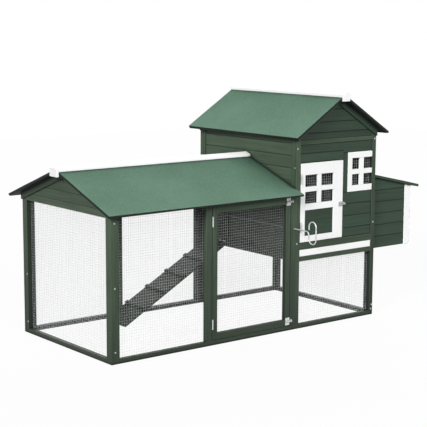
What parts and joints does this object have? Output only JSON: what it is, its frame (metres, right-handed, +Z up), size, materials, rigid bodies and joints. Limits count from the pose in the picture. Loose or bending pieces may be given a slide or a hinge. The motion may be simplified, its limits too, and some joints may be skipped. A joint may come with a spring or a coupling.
{
  "type": "wooden chicken coop with run",
  "caption": "Raised boarded hen house with a nest box on one end and a low mesh run on the other, felted gable roofs, hinged doors, lid and ramp, a sliding pop door and a pull-out tray.",
  "frame": {"origin": "centre of the object's box, on the ground it stands on", "axes": "+X along the front from the run to the nest box, +Y from the front to the back, +Z up"},
  "size_m": [1.999, 0.977, 1.153],
  "materials": {
    "green_wood": "dark green wood stain",
    "white_wood": "white painted wood",
    "roof_felt": "green mineral-surfaced bitumen felt",
    "bare_wood": "bare softwood and ply",
    "galvanised": "zinc-coated steel"
  },
  "bodies": {
    "frame": {"run_posts": "green_wood", "run_bottom_rails": "green_wood", "run_top_rails": "green_wood", "run_gable": "green_wood", "run_rafters": "green_wood", "run_roof_boards": "green_wood", "house_posts": "green_wood", "house_base_rails": "green_wood", "house_rails": "green_wood", "house_front_boards": "green_wood", "house_back_boards": "green_wood", "house_left_boards": "green_wood", "house_right_boards": "green_wood", "house_gables": "green_wood", "house_roof_boards": "green_wood", "nest_boards": "green_wood", "pop_door_tracks": "green_wood", "run_ridge_cap": "white_wood", "house_ridge_cap": "white_wood", "window_frame": "white_wood", "nest_corner_battens": "white_wood", "run_roof_felt": "roof_felt", "house_roof_felt": "roof_felt", "tray_runners": "bare_wood", "perches": "bare_wood", "nest_floor": "bare_wood", "nest_divider": "bare_wood", "run_front_mesh": "galvanised", "run_left_mesh": "galvanised", "run_back_mesh": "galvanised", "house_front_mesh": "galvanised", "house_back_mesh": "galvanised", "house_side_mesh": "galvanised", "window_mesh": "galvanised", "frame_hinge_leaves": "galvanised", "hinge_pins": "galvanised", "bolt_keepers": "galvanised"},
    "run_door": {"run_door_frame": "green_wood", "run_door_mesh": "galvanised", "run_door_hinge_leaves": "galvanised", "run_door_bolt_plates": "galvanised"},
    "run_door_bolt_top": {"run_door_bolt_top": "galvanised"},
    "run_door_bolt_bottom": {"run_door_bolt_bottom": "galvanised"},
    "house_door": {"house_door_frame": "white_wood", "house_door_panel": "green_wood", "house_door_mesh": "galvanised", "house_door_hinge_leaves": "galvanised", "house_door_bolt_plate": "galvanised"},
    "house_door_bolt": {"house_door_bolt": "galvanised"},
    "tray": {"tray_front": "white_wood", "tray_pan": "bare_wood"},
    "nest_lid": {"nest_lid_board": "green_wood", "nest_lid_felt": "roof_felt", "nest_lid_hinge_leaves": "galvanised"},
    "ramp": {"ramp_board": "green_wood", "ramp_cleats": "green_wood", "ramp_hinge_leaves": "galvanised"},
    "pop_door": {"pop_door_panel": "green_wood", "pull_rod": "galvanised", "rod_saddles": "galvanised"}
  },
  "joints": [
    {"name": "run_door_swing", "type": "hinge", "parent": "frame", "child": "run_door", "pos_m": [-0.387, -0.3345, 0.34], "axis": [0, 0, -1], "range_deg": [0, 105]},
    {"name": "run_bolt_top_slide", "type": "slide", "parent": "run_door", "child": "run_door_bolt_top", "axis": [1, 0, 0], "range_m": [0, 0.009]},
    {"name": "run_bolt_bottom_slide", "type": "slide", "parent": "run_door", "child": "run_door_bolt_bottom", "axis": [1, 0, 0], "range_m": [0, 0.009]},
    {"name": "house_door_swing", "type": "hinge", "parent": "frame", "child": "house_door", "pos_m": [0.152, -0.3345, 0.62], "axis": [0, 0, -1], "range_deg": [0, 90]},
    {"name": "house_bolt_slide", "type": "slide", "parent": "house_door", "child": "house_door_bolt", "axis": [1, 0, 0], "range_m": [0, 0.009]},
    {"name": "tray_slide", "type": "slide", "parent": "frame", "child": "tray", "axis": [0, -1, 0], "range_m": [0, 0.55]},
    {"name": "nest_lid_swing", "type": "hinge", "parent": "frame", "child": "nest_lid", "pos_m": [0.6645, 0.0495, 0.727], "axis": [0, -1, 0], "range_deg": [0, 80]},
    {"name": "ramp_swing", "type": "hinge", "parent": "frame", "child": "ramp", "pos_m": [0.1215, 0.2845, 0.36196], "axis": [0, 1, 0], "range_deg": [0, 28]},
    {"name": "pop_door_slide", "type": "slide", "parent": "frame", "child": "pop_door", "axis": [0, -1, 0], "range_m": [0, 0.19]}
  ]
}
